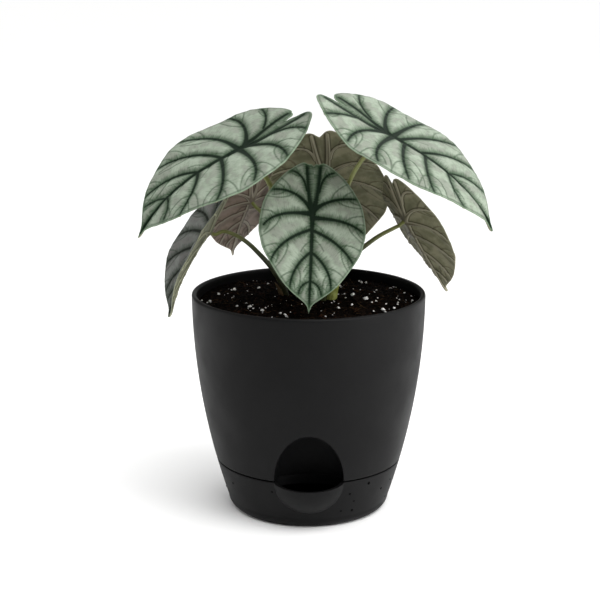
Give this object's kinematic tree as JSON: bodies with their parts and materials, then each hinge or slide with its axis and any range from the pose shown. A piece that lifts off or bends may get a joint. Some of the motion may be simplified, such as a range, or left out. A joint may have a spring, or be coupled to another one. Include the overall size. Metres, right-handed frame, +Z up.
{
  "type": "potted silver dragon alocasia",
  "caption": "House plant with shield-shaped silver-green, dark-veined leaves on green stalks, growing in a tapered black pot that stands in a water tray with a filling scoop at the front.",
  "frame": {"origin": "on the pot's axis, at the underside of the water tray", "axes": "+Z up along the pot's axis, -Y to the front where the watering mouth is, +X to the right seen from the front"},
  "size_m": [0.307, 0.2349, 0.3866],
  "materials": {
    "tray_plastic": "matt black moulded plastic",
    "planter_plastic": "matt black moulded plastic",
    "soil": "dark crumbly potting mix with white perlite",
    "crown": "rough brown stem and roots",
    "stalk": "smooth green plant stalk",
    "leaf": "stiff silver-green leaf, dark green veins, olive brown underside",
    "sheath": "thin yellow-green leaf sheath"
  },
  "bodies": {
    "root": {"reservoir_tray": "tray_plastic", "planter_body": "planter_plastic", "potting_mix": "soil", "crown_and_roots": "crown", "petiole_upper_left": "stalk", "blade_upper_left": "leaf", "petiole_upper_right": "stalk", "blade_upper_right": "leaf", "petiole_front": "stalk", "blade_front": "leaf", "petiole_back_centre": "stalk", "blade_back_centre": "leaf", "petiole_back_left": "stalk", "blade_back_left": "leaf", "petiole_left": "stalk", "blade_left": "leaf", "petiole_right": "stalk", "blade_right": "leaf", "sheath_right": "sheath", "sheath_left": "sheath"}
  },
  "joints": []
}
